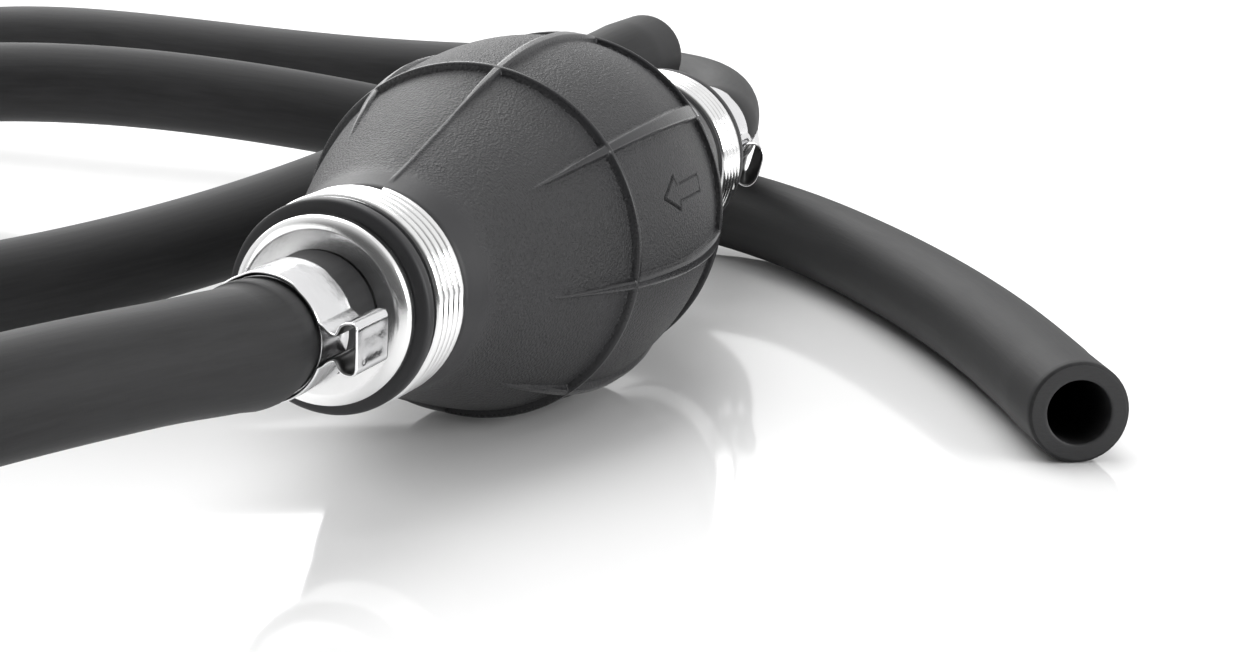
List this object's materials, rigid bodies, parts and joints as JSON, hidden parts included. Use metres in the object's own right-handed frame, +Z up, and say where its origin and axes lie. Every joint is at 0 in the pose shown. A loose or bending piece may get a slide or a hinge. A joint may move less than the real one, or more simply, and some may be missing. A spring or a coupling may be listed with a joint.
{
  "type": "siphon bulb pump",
  "caption": "Rubber hand-squeeze siphon bulb pump, lying with a free hose coming from a clamped metal fitting at each end.",
  "frame": {"origin": "on the surface that the bulb lies on, under the bulb's middle", "axes": "+X along the bulb's axis towards its inlet end, +Y away from the side with the inlet hose's cut end, +Z up"},
  "size_m": [0.3694, 0.3983, 0.0542],
  "materials": {
    "bulb_rubber": "matt black moulded rubber with a fine leather grain",
    "hose_rubber": "smooth satin black rubber",
    "nickel_plate": "bright plated metal",
    "stainless_steel": "bright stainless wire and strip",
    "valve_plastic": "off-white moulded plastic",
    "seal_rubber": "soft black seal rubber"
  },
  "bodies": {
    "pump_body": {"squeeze_bulb": "bulb_rubber", "outlet_end_fitting": "nickel_plate", "outlet_neck_wire_clamp": "stainless_steel", "outlet_hose_cuff": "hose_rubber", "outlet_hose_clamp": "stainless_steel", "outlet_valve_seat": "stainless_steel", "outlet_valve_spring": "stainless_steel", "outlet_valve_retainer": "valve_plastic", "outlet_hose": "hose_rubber", "outlet_hose_mouth": "hose_rubber", "inlet_end_fitting": "nickel_plate", "inlet_neck_wire_clamp": "stainless_steel", "inlet_hose_cuff": "hose_rubber", "inlet_hose_clamp": "stainless_steel", "inlet_valve_seat": "stainless_steel", "inlet_valve_spring": "stainless_steel", "inlet_valve_retainer": "valve_plastic", "inlet_hose": "hose_rubber", "inlet_hose_mouth": "hose_rubber"},
    "front_wall": {"front_squeeze_wall": "bulb_rubber"},
    "back_wall": {"back_squeeze_wall": "bulb_rubber"},
    "outlet_valve": {"outlet_valve_poppet": "valve_plastic", "outlet_valve_seal": "seal_rubber"},
    "inlet_valve": {"inlet_valve_poppet": "valve_plastic", "inlet_valve_seal": "seal_rubber"}
  },
  "joints": [
    {"name": "squeeze_front", "type": "slide", "parent": "pump_body", "child": "front_wall", "axis": [0, 1, 0], "range_m": [0, 0.008], "stiffness_N_per_m": 600, "springref_m": -0.001},
    {"name": "squeeze_back", "type": "slide", "parent": "pump_body", "child": "back_wall", "axis": [0, -1, 0], "range_m": [0, 0.008], "stiffness_N_per_m": 600, "springref_m": -0.001},
    {"name": "outlet_valve_lift", "type": "slide", "parent": "pump_body", "child": "outlet_valve", "axis": [-1, 0, 0], "range_m": [0, 0.002], "stiffness_N_per_m": 30, "springref_m": -0.003, "deforming": ["outlet_valve_spring"]},
    {"name": "inlet_valve_lift", "type": "slide", "parent": "pump_body", "child": "inlet_valve", "axis": [-1, 0, 0], "range_m": [0, 0.002], "stiffness_N_per_m": 30, "springref_m": -0.003, "deforming": ["inlet_valve_spring"]}
  ],
  "couplings": [
    {"joint": "squeeze_back", "follows": "squeeze_front", "ratio": 1}
  ]
}
